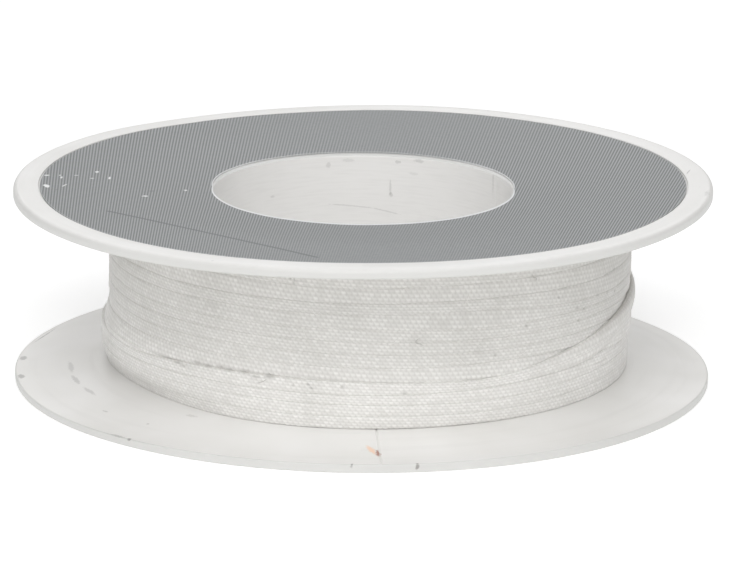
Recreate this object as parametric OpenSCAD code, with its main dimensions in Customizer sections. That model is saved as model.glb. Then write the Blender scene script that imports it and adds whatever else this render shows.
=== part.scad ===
// Cord reel: two moulded flanges with collars that plug into a barrel tube, a ring label
// on the upper flange, and a braided cord wound on the barrel.
// The reel stands on its lower flange. The origin is the middle of that flange's foot ring.

/* [Reel] */
// Diameter of both flanges
flange_d = 100; // [84:1:130]
// Height of the whole reel, standing on one flange
reel_h = 29; // [24:0.5:36]
// Diameter of the bore that a spindle goes through
bore_d = 42.8; // [34:0.2:50]

/* [Flange] */
// Thickness of a flange at its rim
edge_t = 1.5; // [1.2:0.1:2.5]
// Thickness of a flange where the barrel stands on it
root_t = 2.15; // [1.8:0.05:3.5]
// How far the outer face sinks from the foot ring to the bore
dish = 1.5; // [0.5:0.1:2.5]
// Rounding of the rim's corner on the outer face
edge_r = 0.65; // [0.3:0.05:0.8]
// Rounding of the rim's corner on the cord's side
inner_edge_r = 0.2; // [0.1:0.05:0.35]
// Width of the flat ring that a flange stands on, rounding not counted
foot_w = 1; // [0.6:0.1:3]
// Depth of the recess for the label
recess_depth = 0.25; // [0.2:0.05:0.5]
// Bevel at the bore's mouth and at the collar's tip
bevel = 0.4; // [0.2:0.05:0.8]

/* [Barrel] */
// Wall of the collar, which is the wall of the bore
collar_t = 1.3; // [1:0.1:2]
// Wall of the barrel tube
barrel_t = 1.25; // [1:0.05:2.5]
// Clearance between a collar and the barrel tube, on the radius
collar_fit = 0.05; // [0.02:0.01:0.15]
// Gap between the two collars' tips inside the barrel
collar_gap = 0.3; // [0.1:0.1:1]

/* [Label] */
// Distance from the foot ring to the label's recess
recess_inset = 1.95; // [0.5:0.05:4]
// Thickness of the label
label_t = 0.2; // [0.1:0.05:0.3]
// White margin between the label's inner edge and the bore
label_margin = 0.5; // [0.4:0.1:3]
// Clearance round the label in its recess
label_fit = 0.2; // [0.1:0.05:0.5]
// Thickness of the label's adhesive
label_glue = 0.03; // [0.02:0.01:0.05]

/* [Cord] */
// Diameter of the cord
cord_d = 1.8; // [1.5:0.1:2.6]
// Diameter over the layer that fills the whole width between the flanges
wound_d = 74.4; // [66:0.2:76]
// How far the wound cord sits off the reel's axis, towards +X
wound_shift = 0.8; // [0:0.1:1.2]
// Whole turns of the unfinished layer that lies over the lowest turns
band_turns = 3; // [1:1:4]
// Clear gap kept between the modelled turns, which makes their tube thinner than the cord
turn_gap = 0.44; // [0.43:0.01:0.6]
// Clearance of the wound cord from the flanges and the barrel
cord_fit = 0.1; // [0.05:0.05:0.3]

/* [Cord's ends] */
// Angle where the free end is tucked in, anticlockwise from +X
tuck_a = 250; // [230:1:260]
// Angle between the free end and the start of the full layer
ends_apart = 6; // [5:1:12]
// Angle where the last stretch leaves the band
climb_a = 280; // [270:1:300]
// Angle that the last stretch takes to climb from the band to the upper flange
climb_sweep = 230; // [160:5:260]

/* [Hidden] */

$fn = 96;
white_plastic = "#eceae4";
label_grey = "#8f9492";
cord_white = "#e6e5e0";

// Flange
flange_r = flange_d / 2;
bore_r = bore_d / 2;
foot_r = flange_r - edge_r;
groove_r = flange_r - inner_edge_r;
foot_inner_r = foot_r - foot_w;
recess_r = foot_inner_r - recess_inset;
collar_r = bore_r + collar_t;
barrel_r = collar_r + collar_fit + barrel_t;
seat_r = barrel_r + bevel;
corner_steps = 6;

// Height of a flange's outer face above its own foot ring, before the recess is cut
function outer_face_z(r) = dish * (foot_inner_r - r) / (foot_inner_r - bore_r);
root_z = outer_face_z(barrel_r) + recess_depth + root_t;
// Height of the face that the cord lies against
function inner_face_z(r) = root_z + (edge_t - root_z) * (r - seat_r) / (groove_r - seat_r);
collar_top = (reel_h - collar_gap) / 2;

// Cord: the full layer runs down, the band starts back up over it, and the last stretch climbs
// to the upper flange, runs along it and is tucked in beside the full layer's start
rings = 24;
sides = 6;
tube_r = (cord_d - turn_gap) / 2;
lay_r = (wound_d - cord_d) / 2;
core_r = lay_r * cos(180 / rings) - tube_r - cord_fit;
low_z = inner_face_z(lay_r - wound_shift) + cord_d / 2;
high_z = reel_h - low_z;
turns = floor((high_z - low_z) / cord_d);
pitch = (high_z - low_z) / turns;

// Turns, counted from the end of the full layer: the cord moves out a layer, then rises
layer_from = -0.15;
layer_over = 0.45;
rise_from = 0.2;
start_a = tuck_a + ends_apart;
climb_turns = climb_sweep / 360;
climb_from = band_turns + (climb_a - start_a) / 360;
last_turn = band_turns + 1 - ends_apart / 360;
climb_z = pitch * (climb_from - rise_from);
bend_r = 1.2;
bend_steps = 3;
end_run = 2 * tube_r + 0.05;
notch_w = 2 * (tube_r + cord_fit);
tuck_floor_r = lay_r - bend_r - end_run;

function smooth(u) = let (v = min(max(u, 0), 1)) v * v * (3 - 2 * v);
function polar(r, a, z) = [r * cos(a), r * sin(a), z];

// Radius and height of the cord's middle, t turns after the full layer's end
function cord_r(t) = lay_r + cord_d * smooth((t - layer_from) / layer_over);
function cord_z(t) =
    t < 0 ? low_z - pitch * t
    : t < climb_from ? low_z + pitch * max(t - rise_from, 0)
    : low_z + climb_z
        + (high_z - low_z - climb_z) * smooth((t - climb_from) / climb_turns);
function cord_point(t) = polar(cord_r(t), start_a + 360 * t, cord_z(t));

// A square end: straight out from its notch's floor, then a bend into the lay of the turns
function end_point(a, r, z, run, side, along) =
    polar(r - bend_r - run, a, z) + side * along * [-sin(a), cos(a), 0];
function square_end(a, r, z, side) = concat(
    [polar(tuck_floor_r, a, z), polar(r - bend_r, a, z)],
    [for (i = [1 : bend_steps])
        let (b = 90 * i / (bend_steps + 1))
        end_point(a, r, z, -bend_r * sin(b), side, bend_r * (1 - cos(b)))]);

function reversed(list) = [for (i = [len(list) - 1 : -1 : 0]) list[i]];
lay_points = [for (i = [1 : round((turns + last_turn) * rings) - 1])
    cord_point(i / rings - turns)];
cord_path = concat(
    square_end(start_a, lay_r, high_z, 1),
    lay_points,
    reversed(square_end(tuck_a, cord_r(last_turn), high_z, -1)));

// The tube's least clear gap to itself, measured between points half a turn or more apart
path_end = len(cord_path) - 1;
tube_gap = min([for (i = [0 : path_end], j = [i + rings / 2 : path_end])
    norm(cord_path[i] - cord_path[j])]) - 2 * tube_r;
echo(least_gap_of_the_tube_to_itself_mm = tube_gap, turns = turns + last_turn);

// A flange standing on its foot ring, with its collar pointing up
module flange() {
    hub_z = outer_face_z(bore_r + bevel) + recess_depth;
    function corner(r, z, radius, from) = [for (i = [0 : corner_steps])
        let (a = from + 90 * i / corner_steps)
        [r + radius * cos(a), z + radius * sin(a)]];
    rotate_extrude()
        polygon(concat(
            corner(foot_r, edge_r, edge_r, -90),
            corner(groove_r, edge_t - inner_edge_r, inner_edge_r, 0),
            [[seat_r, root_z], [collar_r, root_z]],
            [[collar_r, collar_top - bevel], [collar_r - bevel, collar_top]],
            [[bore_r, collar_top], [bore_r, hub_z + bevel], [bore_r + bevel, hub_z]],
            [[recess_r, outer_face_z(recess_r) + recess_depth]],
            [[recess_r, outer_face_z(recess_r)], [foot_inner_r, 0]]));
}

module lower_flange() {
    color(white_plastic) flange();
}

module upper_flange() {
    color(white_plastic)
        translate([0, 0, reel_h])
            mirror([0, 0, 1])
                flange();
}

// The tube that the cord is wound on, standing on both flanges' seats
module barrel() {
    color(white_plastic)
        translate([0, 0, root_z])
            difference() {
                cylinder(h = reel_h - 2 * root_z, r = barrel_r);
                translate([0, 0, -1])
                    cylinder(h = reel_h, r = collar_r + collar_fit);
            }
}

// A thin ring lying on the dished face
module ring_label() {
    inner_r = bore_r + label_margin;
    outer_r = recess_r - label_fit;
    function seat_z(r) = reel_h - outer_face_z(r) - recess_depth + label_glue;
    color(label_grey)
        rotate_extrude()
            polygon([
                [inner_r, seat_z(inner_r)], [outer_r, seat_z(outer_r)],
                [outer_r, seat_z(outer_r) + label_t], [inner_r, seat_z(inner_r) + label_t]]);
}

// The layers under the outer one, as one plain ring with a notch for each tucked end
module inner_layers() {
    inner_r = barrel_r + cord_fit;
    far_r = core_r + wound_shift;
    function low(r) = inner_face_z(max(r, seat_r)) + cord_fit;
    color(cord_white)
        difference() {
            intersection() {
                rotate_extrude()
                    polygon([
                        [inner_r, low(inner_r)], [seat_r, low(seat_r)], [far_r, low(far_r)],
                        [far_r, reel_h - low(far_r)], [seat_r, reel_h - low(seat_r)],
                        [inner_r, reel_h - low(inner_r)]]);
                translate([wound_shift, 0, 0])
                    cylinder(h = reel_h, r = core_r);
            }
            translate([wound_shift, 0, high_z - notch_w / 2])
                for (a = [start_a, tuck_a])
                    rotate([0, 0, a])
                        translate([tuck_floor_r, -notch_w / 2, 0])
                            cube([cord_d, notch_w, reel_h]);
        }
}

// One unbroken tube along the points of path
module cord_tube(path) {
    last = len(path) - 1;
    function unit(v) = v / norm(v);
    function heading(i) = unit(path[min(i + 1, last)] - path[max(i - 1, 0)]);
    points = [for (i = [0 : last])
        let (ahead = heading(i), out = unit(cross(ahead, [0, 0, 1])), up = cross(out, ahead))
        for (s = [0 : sides - 1])
            path[i] + tube_r * (cos(360 * s / sides) * out + sin(360 * s / sides) * up)];
    wall = [for (i = [0 : last - 1], s = [0 : sides - 1])
        let (a = i * sides + s, b = i * sides + (s + 1) % sides)
        each [[a, b, a + sides], [b, b + sides, a + sides]]];
    cap = [for (s = [1 : sides - 2]) [0, s + 1, s]];
    far_cap = [for (s = [1 : sides - 2]) [last * sides, last * sides + s, last * sides + s + 1]];
    polyhedron(points = points, faces = concat(wall, cap, far_cap));
}

module outer_turns() {
    color(cord_white)
        translate([wound_shift, 0, 0])
            cord_tube(cord_path);
}

lower_flange();
upper_flange();
barrel();
ring_label();
inner_layers();
outer_turns();
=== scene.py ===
"""Looks of a cord reel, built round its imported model.

The reel is two moulded flanges whose collars plug into a barrel tube, a printed ring label on
the upper flange, and a thin braided cord wound on the barrel. Lengths are in millimetres until
a mesh is made. Azimuths are in degrees from the front (-Y), positive towards +X.
"""

import logging
import math
from collections.abc import Mapping, Sequence
from dataclasses import dataclass
from enum import Enum
from typing import Any

import bpy
import numpy as np
from mathutils import Matrix, Vector


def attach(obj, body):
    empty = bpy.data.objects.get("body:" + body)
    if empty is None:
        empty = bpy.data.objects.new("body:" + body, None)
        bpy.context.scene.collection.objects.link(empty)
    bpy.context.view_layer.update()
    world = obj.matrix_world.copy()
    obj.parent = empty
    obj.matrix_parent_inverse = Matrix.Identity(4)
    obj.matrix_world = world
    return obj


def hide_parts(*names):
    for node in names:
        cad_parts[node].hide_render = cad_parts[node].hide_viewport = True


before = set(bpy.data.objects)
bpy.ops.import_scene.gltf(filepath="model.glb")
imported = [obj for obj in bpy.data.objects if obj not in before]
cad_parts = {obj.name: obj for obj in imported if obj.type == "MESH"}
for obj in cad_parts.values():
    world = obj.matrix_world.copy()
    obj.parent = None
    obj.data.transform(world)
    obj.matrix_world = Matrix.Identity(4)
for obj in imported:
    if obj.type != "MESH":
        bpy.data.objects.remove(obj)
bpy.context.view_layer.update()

log = logging.getLogger("cord_reel")

MM = 0.001
TURN = 360.0
# Multiplied with a vector, this leaves out its height
LEVEL = np.array([1.0, 1.0, 0.0])
BAKE_MAP = "OFBake"

# Sockets of Blender's Mix node when it mixes colours
MIX_A, MIX_B, MIX_RESULT = 6, 7, 2


class Slot(Enum):
    """Material slots of the record."""

    PLASTIC = "spool_plastic"
    LABEL = "label_paper"
    CORD = "braided_cord"


class Side(Enum):
    """Which flange is meant: the one the reel stands on, or the labelled one."""

    LOWER = "lower"
    UPPER = "upper"


# ---------------------------------------------------------------- small mathematics


def smooth(value: np.ndarray | float) -> np.ndarray:
    """Returns value clipped to 0..1 and eased at both ends."""
    part = np.clip(value, 0.0, 1.0)
    return part * part * (3.0 - 2.0 * part)


def between(low: np.ndarray, high: np.ndarray, share: np.ndarray) -> np.ndarray:
    """Returns the value that lies that share of the way from low to high."""
    return low + (high - low) * share


def signed_power(value: np.ndarray, power: np.ndarray | float) -> np.ndarray:
    """Returns value raised to a power, with its sign kept."""
    return np.sign(value) * np.abs(value) ** power


def unit(rows: np.ndarray) -> np.ndarray:
    """Returns rows of vectors, each at a length of one."""
    return rows / np.linalg.norm(rows, axis=1, keepdims=True)


def wrapped(azimuth: np.ndarray | float) -> np.ndarray:
    """Returns azimuths between -180 and 180 degrees."""
    return (np.asarray(azimuth) + TURN / 2) % TURN - TURN / 2


def place(radius: np.ndarray, azimuth: np.ndarray, height: np.ndarray) -> np.ndarray:
    """Turns cylinder coordinates into points.

    Args:
        radius: Distances from the axis.
        azimuth: Degrees from the front.
        height: Heights above the foot ring.

    Returns:
        An array of points with x, y and z in its last dimension.
    """
    angle = np.radians(azimuth)
    return np.stack(
        np.broadcast_arrays(radius * np.sin(angle), -radius * np.cos(angle), height), -1
    )


def blurred(values: np.ndarray, sigma: float) -> np.ndarray:
    """Smooths a row of numbers.

    Args:
        values: The numbers.
        sigma: Width of the Gaussian, in samples.

    Returns:
        As many numbers, with the ends held.
    """
    reach = max(1, int(3 * sigma))
    kernel = np.exp(-0.5 * (np.arange(-reach, reach + 1) / sigma) ** 2)
    padded = np.pad(values, reach, mode="edge")
    return np.convolve(padded, kernel / kernel.sum(), mode="valid")


def wandering(rng: np.random.Generator, count: int, sigma: float, spread: float) -> np.ndarray:
    """Makes slow random variation.

    Args:
        rng: The seeded source.
        count: How many numbers.
        sigma: Their smoothness, in samples.
        spread: Their standard deviation.

    Returns:
        The numbers.
    """
    drift = blurred(rng.normal(size=count), sigma)
    return drift * spread / max(float(drift.std()), 1e-9)


# ---------------------------------------------------------------- meshes


@dataclass
class Sheet:
    """A surface of points in rows, which may close on itself in both directions.

    No quad leads from a row named in breaks to the next one. A capped sheet has its ends closed,
    and the ends at its breaks too.
    """

    points: np.ndarray
    rows_close: bool = True
    columns_close: bool = True
    capped: bool = False
    strips: int = 2
    breaks: tuple[int, ...] = ()
    # Margins of a strip in the bake map, along the rows and across them
    margin_u: float = 0.004
    margin_v: float = 0.02

    def faces(self) -> tuple[np.ndarray, np.ndarray]:
        """Lists the quads.

        Returns:
            Corner vertices of each quad, and each quad's (row, column).
        """
        rows, columns = self.points.shape[:2]
        row, column = np.meshgrid(
            np.arange(rows if self.rows_close else rows - 1),
            np.arange(columns if self.columns_close else columns - 1),
            indexing="ij",
        )
        row, column = row.ravel(), column.ravel()
        joined = ~np.isin(row, self.breaks)
        row, column = row[joined], column[joined]
        next_row, next_column = (row + 1) % rows, (column + 1) % columns
        quads = np.stack(
            [
                row * columns + column,
                next_row * columns + column,
                next_row * columns + next_column,
                row * columns + next_column,
            ],
            1,
        )
        return quads, np.stack([row, column], 1)

    def bake_places(self, cells: np.ndarray) -> np.ndarray:
        """Lays the rows out as strips, one above the other.

        Args:
            cells: Each quad's row and column.

        Returns:
            The map's place of each corner of each quad.
        """
        rows, columns = self.points.shape[:2]
        per_strip = math.ceil(rows / self.strips)
        strip, along = cells[:, 0] // per_strip, cells[:, 0] % per_strip
        ahead = np.array([0, 1, 1, 0])
        across = np.array([0, 0, 1, 1])
        u = self.margin_u + (1 - 2 * self.margin_u) * (along[:, None] + ahead) / per_strip
        v = self.margin_v + (1 - 2 * self.margin_v) * (cells[:, 1][:, None] + across) / columns
        return np.stack([u, (strip[:, None] + v) / self.strips], -1)

    def make(self, name: str, attributes: Mapping[str, np.ndarray]) -> bpy.types.Object:
        """Makes the mesh object.

        Args:
            name: The piece's name.
            attributes: One number per point for each name.

        Returns:
            The object, at the origin, in metres.
        """
        rows, columns = self.points.shape[:2]
        quads, cells = self.faces()
        corners = [quads.ravel()]
        starts = [np.arange(len(quads)) * 4]
        places = [self.bake_places(cells).reshape(-1, 2)]
        if self.capped:
            ring = np.arange(columns)
            last_rows = sorted({*self.breaks, rows - 1})
            first_rows = [0] + [row + 1 for row in last_rows[:-1]]
            ends = [row * columns + ring for row in first_rows]
            ends += [row * columns + ring[::-1] for row in last_rows]
            for number, end in enumerate(ends):
                corners.append(end)
                starts.append([len(quads) * 4 + number * columns])
                places.append(np.full((columns, 2), self.margin_u / 2))
        mesh = bpy.data.meshes.new(name)
        mesh.vertices.add(rows * columns)
        mesh.vertices.foreach_set("co", (self.points * MM).astype(np.float32).ravel())
        corner_list = np.concatenate(corners).astype(np.int32)
        start_list = np.concatenate(starts).astype(np.int32)
        mesh.loops.add(len(corner_list))
        mesh.loops.foreach_set("vertex_index", corner_list)
        mesh.polygons.add(len(start_list))
        mesh.polygons.foreach_set("loop_start", start_list)
        mesh.update(calc_edges=True)
        mesh.polygons.foreach_set("use_smooth", np.ones(len(start_list), bool))
        layer = mesh.uv_layers.new(name=BAKE_MAP, do_init=False)
        layer.uv.foreach_set("vector", np.concatenate(places).astype(np.float32).ravel())
        for label, numbers in attributes.items():
            data = mesh.attributes.new(label, "FLOAT", "POINT").data
            data.foreach_set("value", np.asarray(numbers, np.float32).ravel())
        mesh.validate()
        piece = bpy.data.objects.new(name, mesh)
        bpy.context.scene.collection.objects.link(piece)
        return piece


@dataclass(frozen=True)
class Corner:
    """A corner of a turned profile: its place, and the radius that rounds it."""

    radius: float
    height: float
    fillet: float


def turned_profile(corners: Sequence[Corner], step: float) -> tuple[np.ndarray, np.ndarray]:
    """Rounds a closed profile's corners and divides its straights.

    Args:
        corners: The corners, anticlockwise in (radius, height).
        step: Longest piece of a straight.

    Returns:
        The points as (radius, height), and how much each lies on a rounded outer corner.
    """
    # An arc's steps, and how close to it the first point of a straight lies
    arc_steps, guard = 6, 0.06
    places = np.array([[c.radius, c.height] for c in corners])
    points: list[np.ndarray] = []
    rounding: list[float] = []
    ends: list[tuple[np.ndarray, np.ndarray]] = []
    arcs: list[tuple[np.ndarray, float]] = []
    for index, corner in enumerate(corners):
        here = places[index]
        back = places[index - 1] - here
        ahead = places[(index + 1) % len(corners)] - here
        back /= np.linalg.norm(back)
        ahead /= np.linalg.norm(ahead)
        half = math.acos(float(np.clip(back @ ahead, -1, 1))) / 2
        cut = corner.fillet / math.tan(half)
        inward = (back + ahead) / np.linalg.norm(back + ahead)
        centre = here + inward * corner.fillet / math.sin(half)
        first, last = here + back * cut, here + ahead * cut
        outer = float(back[0] * ahead[1] - back[1] * ahead[0] < 0)
        sweep = math.pi - 2 * half
        spokes = [
            (first - centre) * math.sin((1 - k) * sweep) / math.sin(2 * half)
            + (last - centre) * math.sin(k * sweep) / math.sin(2 * half)
            for k in np.linspace(0, 1, arc_steps + 1)
        ]
        arcs.append((np.array([centre + spoke for spoke in spokes]), outer))
        ends.append((first, last))
    for index, (arc, outer) in enumerate(arcs):
        points.append(arc)
        rounding += [outer] * len(arc)
        start, stop = ends[index][1], ends[(index + 1) % len(arcs)][0]
        length = float(np.linalg.norm(stop - start))
        if length <= 4 * guard:
            continue
        marks = np.linspace(guard, length - guard, max(2, math.ceil(length / step) + 1))
        points.append(start + (stop - start) * (marks / length)[:, None])
        rounding += [0.0] * len(marks)
    return np.concatenate(points), np.array(rounding)


@dataclass(frozen=True)
class Furrow:
    """A fine line cut straight along the profile at one azimuth."""

    azimuth: float
    width: float
    depth: float
    inner: float
    outer: float
    low: float
    high: float


def turned_azimuths(furrows: Sequence[Furrow], count: int) -> np.ndarray:
    """Spreads azimuths evenly and adds close ones where a furrow runs.

    Args:
        furrows: The furrows.
        count: How many even ones.

    Returns:
        The azimuths, rising, in degrees from -180.
    """
    even = np.arange(count) * TURN / count - TURN / 2
    near = [
        furrow.azimuth + math.degrees(furrow.width / furrow.outer) * offset
        for furrow in furrows
        for offset in (-2.0, -1.0, -0.5, 0.0, 0.5, 1.0, 2.0)
    ]
    return np.unique(np.round(np.concatenate([even, near]), 5))


def revolved(profile: np.ndarray, azimuths: np.ndarray) -> tuple[np.ndarray, ...]:
    """Repeats a profile round the axis.

    Args:
        profile: Points as (radius, height).
        azimuths: Degrees from the front, one for each row.

    Returns:
        Radius, height and azimuth of each point.
    """
    shape = (len(azimuths), len(profile))
    ways = (profile[:, 0], profile[:, 1], azimuths[:, None])
    return tuple(np.broadcast_to(way, shape).copy() for way in ways)


# ---------------------------------------------------------------- nodes and finishes


def linear(colour: str) -> tuple[float, float, float, float]:
    """Turns an sRGB hex colour into linear numbers.

    Args:
        colour: Six hex digits after a #.

    Returns:
        Linear red, green, blue and an alpha of 1.
    """
    parts = [int(colour[i : i + 2], 16) / 255 for i in (1, 3, 5)]
    red, green, blue = [c / 12.92 if c <= 0.04045 else ((c + 0.055) / 1.055) ** 2.4 for c in parts]
    return red, green, blue, 1.0


def add_node(
    tree: bpy.types.NodeTree, kind: str, inputs: Mapping[str | int, Any], **settings: Any
) -> bpy.types.Node:
    """Adds one node with its settings and links.

    Args:
        tree: The material's tree.
        kind: Blender's name for the node, without its "ShaderNode".
        inputs: For each socket, the output that feeds it or its own value.
        **settings: The node's own settings.

    Returns:
        The node.
    """
    node = tree.nodes.new("ShaderNode" + kind)
    for name, value in settings.items():
        setattr(node, name, value)
    for socket, value in inputs.items():
        if isinstance(value, bpy.types.NodeSocket):
            tree.links.new(value, node.inputs[socket])
        else:
            node.inputs[socket].default_value = value
    return node


@dataclass(frozen=True)
class Finish:
    """What every finish has: a name, and the shader's constant numbers."""

    name: str
    roughness: float
    ior: float

    def blank(self) -> tuple[bpy.types.Material, bpy.types.NodeTree, bpy.types.Node]:
        """Starts the material.

        Returns:
            The material, its tree and its shader.
        """
        material = bpy.data.materials.new(self.name)
        material.use_nodes = True
        tree = material.node_tree
        tree.nodes.clear()
        shader = add_node(
            tree, "BsdfPrincipled", {"Roughness": self.roughness, "IOR": self.ior}
        )
        add_node(tree, "OutputMaterial", {"Surface": shader.outputs[0]})
        return material, tree, shader


@dataclass(frozen=True)
class Spot:
    """A mark that lies at a place of its own, longer one way than the other.

    It is as tall as it is wide, and at least 0.6 mm, unless tall says otherwise.
    """

    x: float
    y: float
    z: float
    length: float
    width: float
    heading: float
    colour: str
    strength: float
    tall: float = 0.0
    tilt: float = 0.0

    def over(
        self, tree: bpy.types.NodeTree, where: bpy.types.NodeSocket, under: bpy.types.NodeSocket
    ) -> bpy.types.NodeSocket:
        """Lays the mark over a colour.

        Args:
            tree: The material's tree.
            where: The surface's place, in metres.
            under: The colour beneath.

        Returns:
            The colour with the mark on it.
        """
        tall = self.tall or max(self.width, 0.6)
        local = add_node(
            tree,
            "Mapping",
            {
                "Vector": where,
                "Location": (self.x * MM, self.y * MM, self.z * MM),
                "Rotation": (0, math.radians(self.tilt), math.radians(self.heading)),
                "Scale": (self.length * MM, self.width * MM, tall * MM),
            },
            vector_type="TEXTURE",
        ).outputs[0]
        # Its edge is ragged, by tatters of 0.35 mm, and fades between 0.55 and 0.95 of its size
        ragged = add_node(
            tree, "TexNoise", {"Vector": where, "Scale": 1 / (0.35 * MM), "Detail": 2.0}
        )
        far = add_node(tree, "VectorMath", {0: local}, operation="LENGTH").outputs["Value"]
        far = add_node(
            tree, "Math", {0: ragged.outputs["Fac"], 1: 1.1, 2: far}, operation="MULTIPLY_ADD"
        ).outputs[0]
        inside = add_node(
            tree,
            "MapRange",
            {"Value": far, "From Min": 1.5, "From Max": 1.1, "To Max": self.strength},
            clamp=True,
        ).outputs[0]
        return add_node(
            tree, "Mix", {0: inside, MIX_A: under, MIX_B: linear(self.colour)}, data_type="RGBA"
        ).outputs[MIX_RESULT]


@dataclass(frozen=True)
class MouldedPolystyrene(Finish):
    """High-impact polystyrene from a satin mould."""

    body: str = "#ebeae8"
    cloudy: str = "#e4e3e0"
    rim_shade: str = "#c6c6c3"
    inner_grey: str = "#b4b4b1"
    sheltered: str = "#e8e7e5"
    scuffed: str = "#c9c8c5"
    speck: str = "#8b8781"

    def build(self, spots: Sequence[Spot]) -> bpy.types.Material:
        """Makes the material.

        Args:
            spots: Marks that stand at places of their own.

        Returns:
            The material.
        """
        # Moulded polystyrene: a satin skin with a soft broad highlight, faintly cloudy where
        # the melt flowed out from the hub, rubbed grey on its corners and flecked with dust.
        material, tree, shader = self.blank()
        where = add_node(tree, "TexCoord", {}).outputs["Object"]
        axes = add_node(tree, "SeparateXYZ", {"Vector": where})
        level = add_node(tree, "VectorMath", {0: where, 1: (1, 1, 0)}, operation="MULTIPLY")
        radius = add_node(
            tree, "VectorMath", {0: level.outputs[0]}, operation="LENGTH"
        ).outputs["Value"]
        around = add_node(
            tree, "Math", {0: axes.outputs["X"], 1: axes.outputs["Y"]}, operation="ARCTAN2"
        ).outputs[0]
        # Flow and handling marks lie along the turn, 2 mm across it and about 40 mm along it.
        # A spindle has rubbed fine rings into the bore's wall, 0.35 mm apart and 5 mm long
        drawn_out = []
        for ways, scale in (
            ((radius, around, axes.outputs["Z"]), (1 / (2.0 * MM), 1.2, 1 / (6.0 * MM))),
            ((around, axes.outputs["Z"], 0.0), (4.5, 1 / (0.35 * MM), 0.0)),
        ):
            turned = add_node(tree, "CombineXYZ", dict(enumerate(ways))).outputs[0]
            turned = add_node(
                tree, "VectorMath", {0: turned, 1: scale}, operation="MULTIPLY"
            ).outputs[0]
            noise = add_node(tree, "TexNoise", {"Vector": turned, "Scale": 1.0, "Detail": 3.0})
            drawn_out.append(noise.outputs["Fac"])
        flow, rub = drawn_out
        # Clouds of 14 mm, wear broken up every millimetre or so, sinks of 5 mm, and the mould's
        # satin grain: 0.05 mm, which is too fine to show, so it is drawn at 0.25 mm
        cloud, patchy, sinks, grain = (
            add_node(
                tree, "TexNoise", {"Vector": where, "Scale": 1 / (size * MM), "Detail": detail}
            ).outputs["Fac"]
            for size, detail in ((14, 2.0), (1.3, 4.0), (5, 1.0), (0.25, 2.0))
        )
        edge = add_node(tree, "Attribute", {}, attribute_name="rounding").outputs["Fac"]
        in_bore = add_node(
            tree,
            "MapRange",
            {"Value": radius, "From Min": 21.55 * MM, "From Max": 21.42 * MM},
            clamp=True,
        ).outputs[0]
        # Cloudy and streaked all over, a painted shade on the rim's outer faces, greyer inside a
        # radius of 24 mm, clean and bright inside the bore, and rubbed there and on corners
        tint = linear(self.body)
        for source, start, stop, most, within, colour in (
            (cloud, 0.35, 0.7, 1.0, None, self.cloudy),
            (flow, 0.56, 0.72, 0.12, None, self.scuffed),
            # A painted shade on the rim's outer faces, from a radius of 49.7 mm outwards
            (radius, 49.7 * MM, 50.0 * MM, 0.75, None, self.rim_shade),
            # Greyer inside a radius of 24 mm
            (radius, 24.0 * MM, 23.6 * MM, 0.7, None, self.inner_grey),
            (radius, 21.55 * MM, 21.42 * MM, 1.0, None, self.sheltered),
            (rub, 0.45, 0.75, 0.16, in_bore, self.scuffed),
            (patchy, 0.5, 0.7, 0.12, edge, self.scuffed),
        ):
            share = add_node(
                tree,
                "MapRange",
                {"Value": source, "From Min": start, "From Max": stop, "To Max": most},
                clamp=True,
            ).outputs[0]
            if within is not None:
                share = add_node(
                    tree, "Math", {0: share, 1: within}, operation="MULTIPLY"
                ).outputs[0]
            tint = add_node(
                tree, "Mix", {0: share, MIX_A: tint, MIX_B: linear(colour)}, data_type="RGBA"
            ).outputs[MIX_RESULT]
        # Dust and pigment flecks of 0.1 to 0.3 mm, one in each cell of 7 mm at the most
        cells = add_node(
            tree, "TexVoronoi", {"Vector": where, "Scale": 1 / (7 * MM), "Randomness": 1.0}
        )
        chance = add_node(tree, "SeparateColor", {"Color": cells.outputs["Color"]})
        size = add_node(
            tree,
            "MapRange",
            {"Value": chance.outputs["Red"], "From Min": 0.72, "From Max": 1.0, "To Max": 0.03},
            clamp=True,
        ).outputs[0]
        fleck = add_node(
            tree, "Math", {0: cells.outputs["Distance"], 1: size}, operation="LESS_THAN"
        ).outputs[0]
        fleck = add_node(tree, "Math", {0: fleck, 1: 0.55}, operation="MULTIPLY").outputs[0]
        tint = add_node(
            tree, "Mix", {0: fleck, MIX_A: tint, MIX_B: linear(self.speck)}, data_type="RGBA"
        ).outputs[MIX_RESULT]
        for spot in spots:
            tint = spot.over(tree, where, tint)
        tree.links.new(tint, shader.inputs["Base Color"])
        gloss = add_node(
            tree,
            "MapRange",
            {
                "Value": flow,
                "From Min": 0.3,
                "From Max": 0.7,
                "To Min": self.roughness - 0.06,
                "To Max": self.roughness + 0.08,
            },
        ).outputs[0]
        tree.links.new(gloss, shader.inputs["Roughness"])
        low = add_node(
            tree, "Bump", {"Height": sinks, "Strength": 0.25, "Distance": 0.15 * MM}
        ).outputs[0]
        skin = add_node(
            tree,
            "Bump",
            {"Height": grain, "Normal": low, "Strength": 0.12, "Distance": 0.02 * MM},
        ).outputs[0]
        tree.links.new(skin, shader.inputs["Normal"])
        return material


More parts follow.
